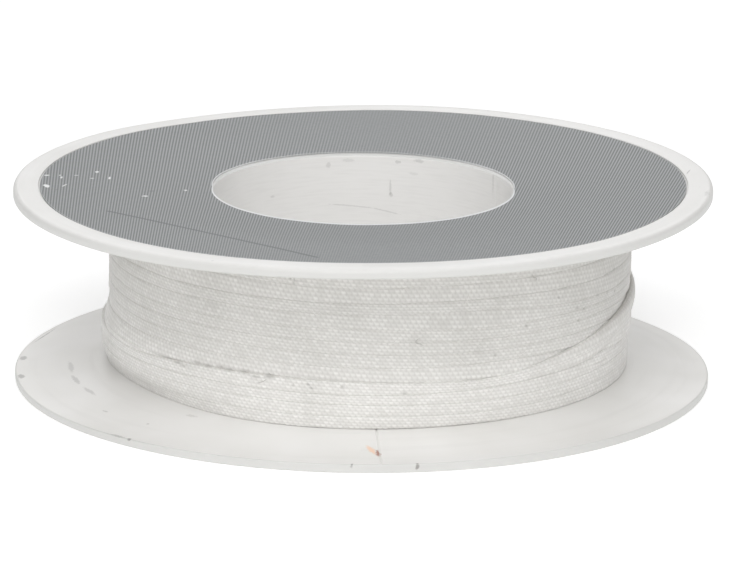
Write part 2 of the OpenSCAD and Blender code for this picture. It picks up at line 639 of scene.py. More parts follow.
@dataclass(frozen=True)
class PrintedPaper(Finish):
    """Coated paper printed with one grey ink through a line screen."""

    ink: str = "#535657"
    gap: str = "#96999a"
    rubbed: str = "#e4e5e6"
    rule: str = "#45494c"
    fan_x: float = -30.0
    fan_y: float = -345.0
    lines_per_radian: float = 820.0

    def build(
        self, rule_from: Vector, rule_to: Vector, nicks: Sequence[Spot]
    ) -> bpy.types.Material:
        """Makes the material.

        Args:
            rule_from: One end of the printed writing rule, in millimetres.
            rule_to: Its other end.
            nicks: Places where the ink was rubbed off.

        Returns:
            The material.
        """
        # Screen-printed coated paper: fine grey lines 0.4 mm apart in a very slow fan, a low
        # gloss, and white nicks where the ink was rubbed off.
        material, tree, shader = self.blank()
        where = add_node(tree, "TexCoord", {}).outputs["Object"]
        fan = (self.fan_x * MM, self.fan_y * MM, 0.0)
        apart = add_node(tree, "VectorMath", {0: where, 1: fan}, operation="SUBTRACT").outputs[0]
        axes = add_node(tree, "SeparateXYZ", {"Vector": apart})
        wave = add_node(
            tree, "Math", {0: axes.outputs["X"], 1: axes.outputs["Y"]}, operation="ARCTAN2"
        ).outputs[0]
        lines = self.lines_per_radian * 2 * math.pi
        wave = add_node(tree, "Math", {0: wave, 1: lines}, operation="MULTIPLY").outputs[0]
        wave = add_node(tree, "Math", {0: wave}, operation="SINE").outputs[0]
        # The screen printed fainter towards the back and along the front
        middle = add_node(
            tree,
            "Mapping",
            {
                "Vector": where,
                "Location": (3 * MM, -2 * MM, 28 * MM),
                "Scale": (21 * MM, 34 * MM, 1.0),
            },
            vector_type="TEXTURE",
        ).outputs[0]
        middle = add_node(tree, "VectorMath", {0: middle}, operation="ABSOLUTE").outputs[0]
        sides = add_node(tree, "SeparateXYZ", {"Vector": middle})
        press = add_node(
            tree, "Math", {0: sides.outputs["X"], 1: sides.outputs["Y"]}, operation="SUBTRACT"
        ).outputs[0]
        strength = add_node(
            tree,
            "MapRange",
            {"Value": press, "From Min": -1.1, "From Max": 0.5, "To Min": 0.1, "To Max": 0.53},
            clamp=True,
        ).outputs[0]
        shade = add_node(
            tree, "Math", {0: wave, 1: strength, 2: 0.5}, operation="MULTIPLY_ADD"
        ).outputs[0]
        # The paper's fibres and the ink on them: 0.03 mm, too fine to show, drawn at 0.5 mm
        grain = add_node(
            tree, "TexNoise", {"Vector": where, "Scale": 1 / (0.5 * MM), "Detail": 4.0}
        ).outputs["Fac"]
        uneven = add_node(tree, "Math", {0: grain, 1: 0.5}, operation="SUBTRACT").outputs[0]
        shade = add_node(
            tree, "Math", {0: uneven, 1: 0.35, 2: shade}, operation="MULTIPLY_ADD"
        ).outputs[0]
        tint = add_node(
            tree,
            "Mix",
            {0: shade, MIX_A: linear(self.ink), MIX_B: linear(self.gap)},
            data_type="RGBA",
        ).outputs[MIX_RESULT]
        tint = self.ruled(tree, where, tint, rule_from, rule_to)
        for nick in nicks:
            tint = nick.over(tree, where, tint)
        # The hole was punched off the print's centre, so some bare paper shows beside it
        unprinted, edge = (
            add_node(tree, "Attribute", {}, attribute_name=name).outputs["Fac"]
            for name in ("unprinted", "rounding")
        )
        margin = add_node(
            tree, "MapRange", {"Value": unprinted, "From Min": -0.04, "From Max": 0.06}, clamp=True
        ).outputs[0]
        worn = add_node(tree, "Math", {0: edge, 1: 0.35}, operation="MULTIPLY").outputs[0]
        bare = add_node(tree, "Math", {0: margin, 1: worn}, operation="MAXIMUM").outputs[0]
        tint = add_node(
            tree, "Mix", {0: bare, MIX_A: tint, MIX_B: linear(self.rubbed)}, data_type="RGBA"
        ).outputs[MIX_RESULT]
        tree.links.new(tint, shader.inputs["Base Color"])
        relief = add_node(
            tree, "Bump", {"Height": grain, "Strength": 0.15, "Distance": 0.03 * MM}
        ).outputs[0]
        tree.links.new(relief, shader.inputs["Normal"])
        return material

    def ruled(
        self,
        tree: bpy.types.NodeTree,
        where: bpy.types.NodeSocket,
        under: bpy.types.NodeSocket,
        rule_from: Vector,
        rule_to: Vector,
    ) -> bpy.types.NodeSocket:
        """Prints the thin rule that a size can be written on.

        Args:
            tree: The material's tree.
            where: The surface's place, in metres.
            under: The colour beneath.
            rule_from: One end of the rule, in millimetres.
            rule_to: Its other end.

        Returns:
            The colour with the rule on it.
        """
        middle = (rule_from + rule_to) / 2
        run = rule_to - rule_from
        local = add_node(
            tree,
            "Mapping",
            {
                "Vector": where,
                "Location": (middle.x * MM, middle.y * MM, 0.0),
                "Rotation": (0, 0, math.atan2(run.y, run.x)),
                "Scale": (run.length / 2 * MM, 0.36 * MM, 1.0),
            },
            vector_type="TEXTURE",
        ).outputs[0]
        reach = add_node(tree, "VectorMath", {0: local}, operation="ABSOLUTE").outputs[0]
        axes = add_node(tree, "SeparateXYZ", {"Vector": reach})
        line: float | bpy.types.NodeSocket = 0.7
        for axis, full_at in (("X", 0.98), ("Y", 0.4)):
            mask = add_node(
                tree,
                "MapRange",
                {"Value": axes.outputs[axis], "From Min": 1.0, "From Max": full_at},
                clamp=True,
            ).outputs[0]
            line = add_node(tree, "Math", {0: mask, 1: line}, operation="MULTIPLY").outputs[0]
        return add_node(
            tree, "Mix", {0: line, MIX_A: under, MIX_B: linear(self.rule)}, data_type="RGBA"
        ).outputs[MIX_RESULT]


@dataclass(frozen=True)
class BraidedPolyester(Finish):
    """Undyed polyester filament, braided round itself from sixteen strands."""

    # The crown colour is a painted highlight, and the gap colour a painted shade
    crown: str = "#f8f7f4"
    gap_shade: str = "#d4d2ce"
    greyed: str = "#e4e4e2"
    # A painted shade under the upper flange, on the upper turns and at the sides
    painted_shade_grey: str = "#cfcfcd"
    soil: str = "#6f6a64"

    def build(self) -> bpy.types.Material:
        """Makes the material.

        Returns:
            The material.
        """
        # Braided polyester: each strand is a flat bundle of bright filaments. Its crown carries a
        # painted highlight along its length, and the gaps between strands a painted warm grey
        # shade.
        material, tree, shader = self.blank()
        where = add_node(tree, "TexCoord", {}).outputs["Object"]
        crown, run, strand, soil, flange_shade = (
            add_node(tree, "Attribute", {}, attribute_name=name).outputs["Fac"]
            for name in ("crown", "run", "strand", "soil", "flange_shade")
        )
        # Filaments lean one way on odd strands and the other way on even ones
        whole = add_node(tree, "Math", {0: strand}, operation="FLOOR").outputs[0]
        odd = add_node(tree, "Math", {0: whole, 1: 2.0}, operation="FLOORED_MODULO").outputs[0]
        lean = add_node(
            tree, "MapRange", {"Value": odd, "To Min": -0.35, "To Max": 0.35}
        ).outputs[0]
        slide = add_node(
            tree, "Math", {0: run, 1: lean, 2: strand}, operation="MULTIPLY_ADD"
        ).outputs[0]
        # Drawn 0.1 mm apart, coarser than the real filaments, so that they can be seen at all
        threads = add_node(tree, "CombineXYZ", {"X": slide, "Y": run}).outputs[0]
        threads = add_node(
            tree, "VectorMath", {0: threads, 1: (7.0, 0.7, 0.0)}, operation="MULTIPLY"
        ).outputs[0]
        filaments = add_node(
            tree, "TexNoise", {"Vector": threads, "Scale": 1.0, "Detail": 1.0}
        ).outputs["Fac"]
        # Grey clouds of 9 mm, where the cord was handled
        cloud = add_node(
            tree, "TexNoise", {"Vector": where, "Scale": 1 / (9 * MM), "Detail": 3.0}
        ).outputs["Fac"]
        ends = ("From Min", "From Max", "To Min", "To Max")
        height, patch, thread_shade = (
            add_node(
                tree, "MapRange", {"Value": source, **dict(zip(ends, limits))}, clamp=True
            ).outputs[0]
            for source, limits in (
                (crown, (0.0, 0.95, 0.0, 1.0)),
                (cloud, (0.45, 0.7, 0.0, 0.3)),
                (filaments, (0.35, 0.65, 0.15, 0.0)),
            )
        )
        # Painted shade in gaps to painted highlight on crowns, greyed in patches, a painted shade
        # under the upper flange, painted shade between filaments, and soiled
        tint = linear(self.gap_shade)
        for share, colour, blend in (
            (height, self.crown, "MIX"),
            (patch, self.greyed, "MULTIPLY"),
            (flange_shade, self.painted_shade_grey, "MULTIPLY"),
            (thread_shade, self.gap_shade, "MIX"),
            (soil, self.soil, "MIX"),
        ):
            tint = add_node(
                tree,
                "Mix",
                {0: share, MIX_A: tint, MIX_B: linear(colour)},
                data_type="RGBA",
                blend_type=blend,
            ).outputs[MIX_RESULT]
        tree.links.new(tint, shader.inputs["Base Color"])
        relief = add_node(
            tree, "Bump", {"Height": filaments, "Strength": 0.35, "Distance": 0.05 * MM}
        ).outputs[0]
        tree.links.new(relief, shader.inputs["Normal"])
        shader.inputs["Sheen Weight"].default_value = 0.25
        shader.inputs["Sheen Roughness"].default_value = 0.45
        return material


@dataclass(frozen=True)
class StudioPaper(Finish):
    """Matt background paper from a roll."""

    sheet: str = "#f7f7f7"
    tooth: str = "#f2f2f2"
    glow: float = 0.29

    def build(self) -> bpy.types.Material:
        """Makes the material.

        Returns:
            The material.
        """
        # Uncoated paper: no gloss, and a faint tooth that keeps it from looking like a screen.
        # Its fibres are far finer, so the tooth is drawn at 1.5 mm.
        material, tree, shader = self.blank()
        where = add_node(tree, "TexCoord", {}).outputs["Object"]
        fibre = add_node(
            tree, "TexNoise", {"Vector": where, "Scale": 1 / (1.5 * MM), "Detail": 3.0}
        )
        tint = add_node(
            tree,
            "Mix",
            {0: fibre.outputs["Fac"], MIX_A: linear(self.sheet), MIX_B: linear(self.tooth)},
            data_type="RGBA",
        ).outputs[MIX_RESULT]
        tree.links.new(tint, shader.inputs["Base Color"])
        shader.inputs["Emission Color"].default_value = linear("#ffffff")
        shader.inputs["Emission Strength"].default_value = self.glow
        return material


# ---------------------------------------------------------------- flanges and label


@dataclass(frozen=True)
class Droop:
    """How far the upper flange hangs below true, at the label's edge, round the reel."""

    azimuths: tuple[float, ...] = (
        -180, -165, -145, -128, -100, -70, -45, -26, 0, 25, 43, 75, 100, 165, 180,
    )
    drops: tuple[float, ...] = (
        0.15, 0.42, 0.61, 0.46, 0.55, 0.8, 0.93, 0.9, 0.66, 0.65, 0.6, 0.15, 0.0, 0.0, 0.15,
    )
    starts_at: float = 33.0
    full_at: float = 50.0
    measured_at: float = 46.2
    # Samples of the curve round the reel, and how many of them its corners are evened over
    samples: int = 720
    evening: float = 8.0

    def at(self, radius: np.ndarray, azimuth: np.ndarray) -> np.ndarray:
        """Gives the drop at each place.

        Args:
            radius: Distances from the axis.
            azimuth: Degrees from the front.

        Returns:
            Millimetres downwards.
        """
        fine = np.linspace(-TURN / 2, TURN / 2, self.samples + 1)
        curve = np.interp(fine, self.azimuths, self.drops)
        reach = int(3 * self.evening)
        ring = np.concatenate([curve[-reach - 1 : -1], curve, curve[1 : reach + 1]])
        curve = blurred(ring, self.evening)[reach:-reach]
        span = self.full_at - self.starts_at
        reference = float(smooth((self.measured_at - self.starts_at) / span))
        weight = smooth((np.asarray(radius) - self.starts_at) / span) / reference
        return np.interp(wrapped(azimuth), fine, curve) * weight


@dataclass
class Flange:
    """One moulded flange with its collar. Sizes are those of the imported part."""

    side: Side
    height: float = 29.0
    rim_r: float = 50.0
    rim_t: float = 1.5
    outer_round: float = 0.65
    inner_round: float = 0.2
    foot_inner_r: float = 48.35
    dish: float = 1.5
    recess_r: float = 46.4
    recess_depth: float = 0.25
    bore_r: float = 21.4
    collar_r: float = 22.7
    collar_top: float = 14.35
    seat_r: float = 24.4
    root_z: float = 3.755
    bevel: float = 0.4
    mouth_round: float = 0.17
    segments: int = 360
    step: float = 0.5
    furrows: tuple[Furrow, ...] = ()
    # Stretches where the rim is thinner: azimuth, half-length, share of the thickness lost
    thinned: tuple[tuple[float, float, float], ...] = ()
    thinned_from: float = 38.0
    thinned_to: float = 49.0

    def outer_face(self, radius: float) -> float:
        """Returns the outer face's height above the foot ring, before the recess is cut."""
        return self.dish * (self.foot_inner_r - radius) / (self.foot_inner_r - self.bore_r)

    def inner_face(self, radius: np.ndarray | float) -> np.ndarray:
        """Gives the face that the cord lies against.

        Args:
            radius: Distances from the axis.

        Returns:
            Heights above the foot ring.
        """
        width = self.rim_r - self.inner_round - self.seat_r
        share = np.maximum(np.asarray(radius) - self.seat_r, 0.0) / width
        return between(self.root_z, self.rim_t, share)

    def corners(self) -> list[Corner]:
        """Lists the profile's corners for a flange that stands on its foot ring.

        Returns:
            The corners, anticlockwise in (radius, height).
        """
        hub = self.outer_face(self.bore_r + self.bevel) + self.recess_depth
        return [
            Corner(self.rim_r, 0.0, self.outer_round),
            Corner(self.rim_r, self.rim_t, self.inner_round),
            Corner(self.seat_r, self.root_z, 0.3),
            Corner(self.collar_r, self.root_z, 0.12),
            Corner(self.collar_r, self.collar_top - self.bevel, 0.15),
            Corner(self.collar_r - self.bevel, self.collar_top, 0.15),
            Corner(self.bore_r, self.collar_top, 0.2),
            Corner(self.bore_r, hub, self.mouth_round),
            Corner(self.recess_r, self.outer_face(self.recess_r) + self.recess_depth, 0.05),
            Corner(self.recess_r, self.outer_face(self.recess_r), 0.08),
            Corner(self.foot_inner_r, 0.0, 0.25),
        ]

    def build(self, droop: Droop | None) -> bpy.types.Object:
        """Turns the profile round the axis.

        Args:
            droop: How the flange hangs, if it does.

        Returns:
            The flange.
        """
        profile, rounding = turned_profile(self.corners(), self.step)
        azimuths = turned_azimuths(self.furrows, self.segments)
        radius, height, around = revolved(profile, azimuths)
        for furrow in self.furrows:
            apart = np.radians(np.abs(around - furrow.azimuth)) * radius
            inside = (
                (radius > furrow.inner)
                & (radius < furrow.outer)
                & (height > furrow.low)
                & (height < furrow.high)
            )
            depth = furrow.depth * np.clip(1 - apart / furrow.width, 0, 1) * inside
            if furrow.outer < self.collar_r:
                radius += depth
            else:
                height -= depth
        outwards = smooth((radius - self.thinned_from) / (self.thinned_to - self.thinned_from))
        for azimuth, reach, share in self.thinned:
            aside = wrapped(around - azimuth) / reach
            height = height * (1 - share * np.exp(-(aside**2)) * outwards)
        if self.side is Side.UPPER:
            height = self.height - height[:, ::-1]
            radius = radius[:, ::-1]
            rounding = rounding[::-1]
        if droop is not None:
            height = height - droop.at(radius, around)
        sheet = Sheet(place(radius, around, height))
        worn = np.broadcast_to(rounding, radius.shape)
        return sheet.make(f"{self.side.value}_flange_moulding", {"rounding": worn})


@dataclass
class RingLabel:
    """The printed ring in the upper flange's recess, its hole punched oval and off centre."""

    inner_r: float = 21.9
    hole_across: float = 21.5
    hole_front: float = 21.77
    hole_back: float = 22.9
    margin_front: float = 0.8
    margin_side: float = 0.15
    outer_r: float = 46.2
    thickness: float = 0.2
    glue: float = 0.03
    segments: int = 360
    step: float = 0.7
    # The punch pulled this much of the ring's width along with the hole's edge
    pulled: float = 4.0
    ripple: float = 0.02
    ripple_limits: tuple[float, float] = (-0.015, 0.03)

    def seat(self, flange: Flange, radius: float) -> float:
        """Returns the height of the label's underside on the flange."""
        return flange.height - flange.outer_face(radius) - flange.recess_depth + self.glue

    def build(self, flange: Flange, droop: Droop, rng: np.random.Generator) -> bpy.types.Object:
        """Lays the ring on the flange's dished face.

        Args:
            flange: The flange that it is stuck to.
            droop: How that flange hangs.
            rng: The seeded source for its ripples.

        Returns:
            The label.
        """
        inner_z, outer_z = self.seat(flange, self.inner_r), self.seat(flange, self.outer_r)
        corners = [
            Corner(self.inner_r, inner_z, 0.03),
            Corner(self.outer_r, outer_z, 0.03),
            Corner(self.outer_r, outer_z + self.thickness, 0.06),
            Corner(self.inner_r, inner_z + self.thickness, 0.06),
        ]
        profile, rounding = turned_profile(corners, self.step)
        radius, height, around = revolved(profile, turned_azimuths((), self.segments))
        lean = np.cos(np.radians(around))
        furthest = np.where(lean > 0, self.hole_front, self.hole_back)
        hole = between(self.hole_across, furthest, np.abs(lean) ** 0.8)
        spare = np.where(lean > 0, self.margin_front - self.margin_side, self.margin_side)
        margin = self.margin_side + spare * lean
        near_hole = np.clip((self.inner_r + self.pulled - radius) / self.pulled, 0.0, 1.0)
        moved = (hole - self.inner_r) * near_hole
        # The underside lies still beside the hole, and everything else ripples a little
        ripples = height > inner_z + 0.5 * self.thickness
        height = height + moved * (outer_z - inner_z) / (self.outer_r - self.inner_r)
        radius = radius + moved
        height = height - droop.at(radius, around)
        waves = sum(
            rng.uniform(0.4, 1.0)
            * np.sin(np.radians(around) * rng.integers(5, 23) + radius * rng.uniform(0.2, 0.9))
            for _ in range(6)
        )
        lifted = np.clip(np.where(ripples, self.ripple * waves / 3.0, 0.0), *self.ripple_limits)
        return Sheet(place(radius, around, height + lifted)).make(
            "ring_label_print",
            {
                "rounding": np.broadcast_to(rounding, radius.shape),
                "unprinted": hole + margin - radius,
            },
        )


# ---------------------------------------------------------------- the wound cord


@dataclass(frozen=True)
class Blot:
    """A touch of dirt on the winding."""

    azimuth: float
    height: float
    along: float
    across: float
    strength: float


@dataclass(frozen=True)
class Mound:
    """A rounded rise in the winding, over its whole height unless spread limits it."""

    azimuth: float
    reach: float
    rise: float
    level: float = 0.0
    spread: float = math.inf

    def at(self, azimuth: np.ndarray, height: np.ndarray) -> np.ndarray:
        """Returns how far each place is raised, by its azimuth and height."""
        aside = wrapped(azimuth - self.azimuth) / self.reach
        return self.rise * np.exp(-(aside**2) - ((height - self.level) / self.spread) ** 2)


@dataclass
class WoundCord:
    """The outer layers of braided cord.

    A full layer runs down from the upper flange, the cord moves out a layer and winds back up
    over its lowest turns, and the last stretch climbs to the upper flange and is tucked in.
    Edges are heights of the line between two turns, against turns from the layer's start.
    """

    start_azimuth: float = -14.0
    layer_turns: float = 12.0
    last_turn: float = 3.9833
    layer_thick: float = 1.6
    band_thick: float = 1.7
    strand_thick: float = 1.3
    squareness: float = 5.5
    strand_roundness: float = 2.8
    crowding: float = 1.18
    carriers: int = 16
    stitch: float = 0.77
    rings_per_stitch: int = 4
    relief: float = 0.09
    mean_crown: float = 0.45
    twist_length: float = 190.0
    bend_r: float = 1.2
    tuck_depth: float = 2.6
    clear: float = 0.02
    strips: int = 26
    seed: int = 7
    # Outer radii on average, and how much larger they are towards +X, since both are off centre
    layer_r: float = 37.45
    layer_off: float = 1.05
    band_r: float = 37.9
    band_off: float = 0.4
    # Radius that rings are counted at, radius of the outside, and height of the lowest edge
    mean_r: float = 37.6
    outside_r: float = 38.0
    lowest_edge: float = 2.66
    # How much the edge lines sway, and over how many of their steps
    sway: float = 0.075
    sway_steps: float = 26.0
    steps_per_turn: int = 720
    # How far the outside wanders, over what part of a turn, and the part that edges even out over
    wander: float = 0.05
    wander_part: float = 1 / 9
    even_part: float = 1 / 70
    # Turns of the band, counted from the layer's end: where it starts, and where it climbs
    band_from: float = -0.5
    band_over: float = 0.35
    strand_from: float = 3.1
    strand_over: float = 0.11
    # Widest that a turn is pressed in the layers and in the last stretch, and where that changes
    widest: float = 2.9
    widest_strand: float = 2.15
    narrow_from: float = 3.22
    narrow_over: float = 0.12
    # How far the last stretch squeezes the layer under it, and to what half-height
    squeeze: float = 0.4
    squeeze_reach: float = 1.3
    # The buried turns' depth under the band, and how far the last stretch stands out
    buried_depth: float = 1.55
    strand_proud: float = 0.72

    # Seen from the front: drawn in at the lowest left, painted shade at both sides, pressed
    # down at the lowest right, raised under the last stretch and below it, swollen out on
    # the left to meet the band, and the last stretch's lower edge pressed in on the right
    drawn_in: Mound = Mound(-60, 27, 1.7, 2.6, 2.0)
    shaded_sides: tuple[Mound, ...] = (Mound(76, 21, 0.5), Mound(-76, 21, 0.5))
    pressed_low: Mound = Mound(65, 35, 0.25)
    bulge: Mound = Mound(80, 28, 0.4, 10.8, 2.2)
    filling: Mound = Mound(66, 26, 1.35, 7.8, 0.7)
    swelling: Mound = Mound(-66, 32, 1.0, 8.9, 1.7)
    pressed_in: Mound = Mound(70, 19, 0.35)

    layer_edges: tuple[tuple[float, float], ...] = (
        (0.0, 26.05), (0.0389, 26.0), (0.5, 25.2), (1.0389, 24.25), (1.1, 24.2), (2.0389, 22.43),
        (2.08, 22.55), (2.164, 22.2), (2.2167, 21.9), (3.0389, 20.18), (3.11, 20.3), (3.161, 20.0),
        (3.2028, 19.5), (4.0389, 18.71), (4.1167, 18.6), (4.164, 17.6), (4.2139, 17.1),
        (5.0389, 16.67), (5.1167, 16.1), (6.0389, 14.7), (6.1167, 14.5), (7.0389, 12.86),
        (7.1167, 12.8), (8.0389, 11.03), (8.1167, 11.1), (9.0389, 9.05), (10.0389, 7.25),
        (11.0389, 5.6), (12.0389, 4.2), (13.0, 2.66), (14.0, 2.66),
    )
    band_edges: tuple[tuple[float, float], ...] = (
        (-1.0, 2.66), (0.0, 2.66), (0.04, 2.66), (0.2, 2.8), (0.54, 3.4), (0.75, 3.9), (0.94, 4.3),
        (1.04, 4.22), (1.12, 4.1), (1.19, 4.4), (1.54, 5.0), (1.75, 5.5), (1.94, 6.0), (2.04, 5.93),
        (2.12, 5.5), (2.19, 6.05), (2.54, 6.6), (2.75, 7.1), (2.94, 7.7), (3.04, 7.35),
        (3.12, 7.5), (3.17, 8.2), (3.19, 8.3), (3.22, 7.9), (3.29, 8.4), (3.54, 8.3), (3.789, 8.8),
        (3.886, 8.6), (3.93, 9.1), (3.975, 9.2), (4.0389, 9.05), (4.12, 8.5), (4.144, 9.4),
        (4.167, 10.2), (4.189, 11.2), (4.222, 12.6), (4.258, 14.0), (4.2889, 14.4), (4.344, 16.1),
        (4.4, 18.4), (4.469, 20.9), (4.539, 22.9), (4.62, 24.9), (4.7, 25.9), (5.0, 26.0),
    )
    band_top: tuple[tuple[float, float], ...] = (
        (-14, 9.0), (0, 9.05), (28, 8.6), (40, 8.3), (60, 8.0), (90, 8.4), (150, 8.3), (250, 8.8),
        (320, 9.2), (346, 9.0),
    )
    blots: tuple[Blot, ...] = ()

    @property
    def ring_step(self) -> float:
        """Returns the distance between two rings of the mesh."""
        return self.stitch / self.rings_per_stitch

    def layer_radius(self, azimuth: np.ndarray) -> np.ndarray:
        """Returns the full layer's outer radius, which runs out of true."""
        return self.layer_r + self.layer_off * np.sin(np.radians(azimuth))

    def band_radius(self, azimuth: np.ndarray) -> np.ndarray:
        """Returns the band's outer radius."""
        return self.band_r + self.band_off * np.sin(np.radians(azimuth))

    def band_height(self, azimuth: np.ndarray) -> np.ndarray:
        """Returns the height of the band's upper edge."""
        around = (azimuth - self.start_azimuth) % TURN + self.start_azimuth
        return np.interp(around, *zip(*self.band_top))

    def strand_share(self, up: np.ndarray) -> np.ndarray:
        """Returns how far the cord has become the last stretch, by its turns up the band."""
        return smooth((up - self.strand_from) / self.strand_over)

    def flange_shade_at(self, azimuth: np.ndarray, height: np.ndarray) -> np.ndarray:
        """Gives the painted shade under the upper flange, most near the top and at the sides.

        Args:
            azimuth: Degrees from the front, of each point.
            height: Each point's height.

        Returns:
            From 0 where it is bright to about 0.8.
        """
        sides = sum(side.at(azimuth, height) for side in self.shaded_sides)
        return 0.34 * smooth((height - 7.0) / 6.0) + sides * smooth((height - 9.0) / 13.0)

    def surface(self, azimuth: np.ndarray, height: np.ndarray) -> np.ndarray:
        """Gives the winding's outside as far as the band and the layer, without the braid.

        Args:
            azimuth: Degrees from the front, of each place.
            height: Each place's height.

        Returns:
            Distances from the axis.
        """
        band = smooth((self.band_height(azimuth) - height + 0.2) / 0.4)
        out = between(self.layer_radius(azimuth), self.band_radius(azimuth), band)
        return out - self.drawn_in.at(azimuth, height)

    def lay(self) -> dict[str, np.ndarray]:
        """Works out the cord's course.

        Returns:
            For each ring along the cord: turn, azimuth, outer radius, lower and upper edge,
            thickness and squareness of its section.
        """
        rng = np.random.default_rng(self.seed)
        total = self.layer_turns + self.last_turn
        count = int(total * 2 * math.pi * self.mean_r / self.ring_step)
        turn = np.linspace(0.0, total, count)
        per_turn = count / total
        azimuth = self.start_azimuth + TURN * turn
        up = turn - self.layer_turns
        # Both edge lines sway a little, and they sway apart
        edge_turn = np.linspace(-1.0, 15.0, 16 * self.steps_per_turn)
        sway = wandering(rng, len(edge_turn), self.sway_steps, self.sway)
        layer_line = np.interp(edge_turn, *zip(*self.layer_edges)) + sway
        band_line = np.interp(edge_turn, *zip(*self.band_edges)) + sway[::-1] * 0.8
        layer_low = np.interp(turn + 1, edge_turn, layer_line)
        layer_high = np.interp(turn, edge_turn, layer_line)
        band_low = np.interp(up, edge_turn, band_line)
        band_high = np.interp(up + 1, edge_turn, band_line)
        in_band = smooth((up - self.band_from) / 0.3)
        low = between(layer_low, np.where(up < 0, self.lowest_edge, band_low), in_band)
        high = between(layer_high, band_high, in_band)
        narrowed = smooth((up - self.narrow_from) / self.narrow_over)
        widest = between(self.widest, self.widest_strand, narrowed)
        low = np.maximum(low, high - widest)
        # The lowest turn is pressed hard against the flange on the right
        low = low - smooth((3.4 - low) / 0.5) * self.pressed_low.at(azimuth, low)
        low, high = (blurred(edge, per_turn * self.even_part) for edge in (low, high))
        middle = (low + high) / 2
        # How far each place of the full layer is buried by the band, sooner on the right
        top = self.band_height(azimuth)
        buried = between(
            smooth((top - high + 0.5) / 0.8),
            smooth((top - middle + 0.6) / 1.2),
            smooth((np.sin(np.radians(azimuth)) + 0.2) / 0.5),
        )
        full = self.layer_radius(azimuth)
        climb = up > self.strand_from
        around = (azimuth - self.start_azimuth) % TURN
        over = np.interp(around, around[climb], middle[climb], left=-9)
        squeezed = self.squeeze * np.exp(-(((middle - over) / self.squeeze_reach) ** 2))
        bulge = self.bulge.at(azimuth, middle)
        band_out = self.band_radius(azimuth)
        layer_out = between(full - squeezed + bulge, band_out - self.buried_depth, buried)
        layer_out = layer_out + self.filling.at(azimuth, middle)
        banded = smooth((up - self.band_from) / self.band_over)
        strand = self.strand_share(up)
        out = between(layer_out, band_out, banded)
        out = between(out, full + self.strand_proud + bulge, strand)
        out = out + wandering(rng, count, per_turn * self.wander_part, self.wander)
        thick = between(self.layer_thick, self.band_thick, banded)
        return {
            "turn": turn,
            "azimuth": azimuth,
            "out": out,
            "low": low,
            "high": high,
            "thick": between(thick, self.strand_thick, strand),
            "square": between(self.squareness, self.strand_roundness, strand),
        }

    def course(self, lay: dict[str, np.ndarray]) -> tuple[np.ndarray, np.ndarray]:
        """Adds the tucked ends to the cord's middle line.

        Args:
            lay: What lay() returned.

        Returns:
            Points of the middle line, and for each the index of the ring that it copies.
        """
        radius = lay["out"] - lay["thick"] / 2
        height = (lay["low"] + lay["high"]) / 2
        line = place(radius, lay["azimuth"], height)
        pieces: list[np.ndarray] = []
        indices: list[np.ndarray] = []
        for index, way in ((0, -1.0), (-1, 1.0)):
            angle = math.radians(float(lay["azimuth"][index]))
            outward = np.array([math.sin(angle), -math.cos(angle), 0.0])
            onward = np.array([math.cos(angle), math.sin(angle), 0.0]) * way
            bend_step = self.ring_step / self.bend_r
            bend = np.arange(bend_step, math.pi / 2, bend_step)[:, None]
            turned = (
                line[index]
                + onward * self.bend_r * np.sin(bend)
                - outward * self.bend_r * (1 - np.cos(bend))
            )
            run = np.arange(self.ring_step, self.tuck_depth, self.ring_step)[:, None]
            straight = turned[-1] - outward * run
            piece = np.concatenate([turned, straight])
            pieces.append(piece[::-1] if way < 0 else piece)
            indices.append(np.full(len(piece), 0 if way < 0 else len(line) - 1))
        points = np.concatenate([pieces[0], line, pieces[1]])
        index = np.concatenate([indices[0], np.arange(len(line)), indices[1]])
        return points, index

    def section(self, twist: np.ndarray) -> np.ndarray:
        """Spaces the sides evenly round the section, two for each strand.

        Args:
            twist: Turns that the cord has twisted by, at each ring.

        Returns:
            Angles round the section for each ring and side.
        """
        sides = 2 * self.carriers
        share = np.arange(sides)[None] / sides - twist[:, None]
        fine = np.linspace(-math.pi, math.pi, 4001)
        x, z = (signed_power(way(fine), 2 / self.squareness) for way in (np.cos, np.sin))
        length = np.concatenate([[0], np.cumsum(np.hypot(np.diff(x), np.diff(z)))])
        length = length / length[-1] - 0.5
        return np.interp((share + 0.5) % 1 - 0.5, length, fine)

    def braid(self, rings: int, rng: np.random.Generator) -> np.ndarray:
        """Gives the braid's relief, strands on neighbouring sides half a stitch apart.

        Args:
            rings: How many rings the cord has.
            rng: The seeded source for how full each stitch is.

        Returns:
            For each ring and side, from 0 in a gap between strands to 1 on a full crown.
        """
        side = np.arange(2 * self.carriers)[None]
        across = np.where(side % 2 == 1, 0.0, -0.5)
        sign = np.where((side // 2) % 2 == 0, 1.0, -1.0)
        phase = np.arange(rings)[:, None] / self.rings_per_stitch + 0.25 * sign
        along = phase - np.floor(phase) - 0.5
        # A strand falls away towards both ends of its stitch, and a little less to its sides
        filled = 1 - 0.9 * np.abs(2 * along) ** 2.4 - 0.75 * np.abs(2 * across) ** 2.4
        stitch = np.floor(phase).astype(int) + 1
        fullness = rng.uniform(0.45, 1.0, (int(stitch.max()) + 1, self.carriers))
        return np.sqrt(np.clip(filled, 0.0, 1.0)) * fullness[stitch, side // 2]

    def dirt(self, azimuth: np.ndarray, height: np.ndarray) -> np.ndarray:
        """Adds up the blots.

        Args:
            azimuth: Degrees from the front, of each point.
            height: Each point's height.

        Returns:
            From 0 where the cord is clean to 1 where it is black.
        """
        soil = np.zeros(height.shape, np.float32)
        for blot in self.blots:
            aside = np.radians(wrapped(azimuth - blot.azimuth)) * self.outside_r
            away = (aside / blot.along) ** 2 + ((height - blot.height) / blot.across) ** 2
            soil = np.maximum(soil, blot.strength * np.exp(-away))
        return soil

